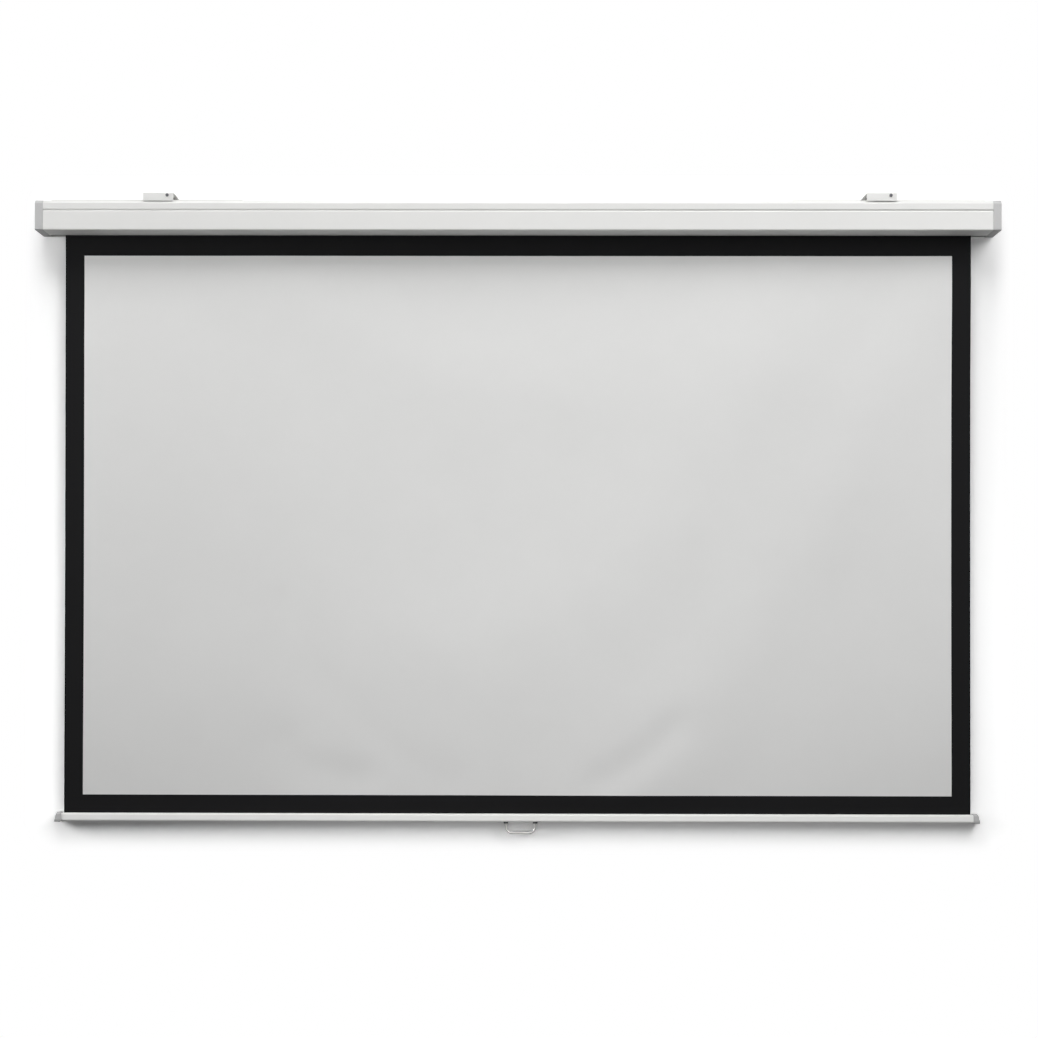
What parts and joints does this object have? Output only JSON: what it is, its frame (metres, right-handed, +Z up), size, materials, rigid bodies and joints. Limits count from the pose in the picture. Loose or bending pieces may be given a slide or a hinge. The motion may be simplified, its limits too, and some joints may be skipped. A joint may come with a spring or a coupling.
{
  "type": "pull down projector screen",
  "caption": "Slim case with a spring roller that holds a bordered projection sheet, a weighted bottom bar with a wire pull handle, and brackets that slide in rails on the case.",
  "frame": {"origin": "midway between the two brackets' nominal places on the object's middle plane, where the wall plane (Y = 0) meets the ceiling plane (Z = 0)", "axes": "+X along the case to the right as seen from the front, +Y towards the wall, +Z up; the sheet faces -Y and is drawn fully down"},
  "size_m": [2.5236, 0.0849, 1.6834],
  "materials": {
    "case_paint": "white satin powder coat on steel sheet",
    "bar_paint": "white satin powder coat on an aluminium extrusion",
    "cap_plastic": "light grey moulded plastic, fine grain",
    "white_plastic": "natural white bearing plastic",
    "black_plastic": "black moulded plastic",
    "dark_steel": "blackened steel screw",
    "bright_steel": "bright zinc-plated steel",
    "aluminium": "mill-finish aluminium tube",
    "white_fabric": "matt white projection surface with a black border and a black back",
    "black_fabric": "matt black coated cloth"
  },
  "bodies": {
    "case": {"rear_housing": "case_paint", "front_cover": "case_paint", "end_cap_left": "cap_plastic", "end_cap_right": "cap_plastic", "cap_screw_left": "dark_steel", "cap_screw_right": "dark_steel", "bracket_rail_left": "case_paint", "bracket_rail_right": "case_paint", "spring_arbor": "bright_steel", "torsion_spring": "bright_steel", "spring_anchor": "black_plastic", "idle_bearing": "white_plastic", "screen_fabric": "white_fabric"},
    "roller": {"roller_tube": "aluminium", "fabric_spline": "black_plastic", "fabric_wraps": "black_fabric", "lock_unit": "black_plastic", "idle_plug": "black_plastic", "idle_pin": "bright_steel"},
    "weight_bar": {"bottom_bar": "bar_paint", "bar_cap_left": "cap_plastic", "bar_cap_right": "cap_plastic", "hem_rod": "bright_steel", "fabric_hem": "black_fabric", "handle_clip_left": "black_plastic", "handle_clip_right": "black_plastic"},
    "handle": {"pull_handle": "bright_steel"},
    "left_mount": {"bracket_left": "case_paint", "bracket_shoe_left": "black_plastic", "lock_screw_left": "dark_steel"},
    "right_mount": {"bracket_right": "case_paint", "bracket_shoe_right": "black_plastic", "lock_screw_right": "dark_steel"}
  },
  "joints": [
    {"name": "screen_travel", "type": "slide", "parent": "case", "child": "weight_bar", "axis": [0, 0, 1], "range_m": [0, 1.527], "deforming": ["screen_fabric"]},
    {"name": "roller_spin", "type": "hinge", "parent": "case", "child": "roller", "pos_m": [0, -0.04225, -0.059], "axis": [1, 0, 0], "range_deg": [0, 3760]},
    {"name": "handle_swing", "type": "hinge", "parent": "weight_bar", "child": "handle", "pos_m": [0.0105, -0.01895, -1.64245], "axis": [1, 0, 0], "range_deg": [-25, 25]},
    {"name": "left_bracket_slide", "type": "slide", "parent": "case", "child": "left_mount", "axis": [1, 0, 0], "range_m": [-0.255, 0.183]},
    {"name": "right_bracket_slide", "type": "slide", "parent": "case", "child": "right_mount", "axis": [1, 0, 0], "range_m": [-0.194, 0.244]}
  ],
  "couplings": [
    {"joint": "roller_spin", "follows": "screen_travel", "rad_per_m": 42.918}
  ]
}
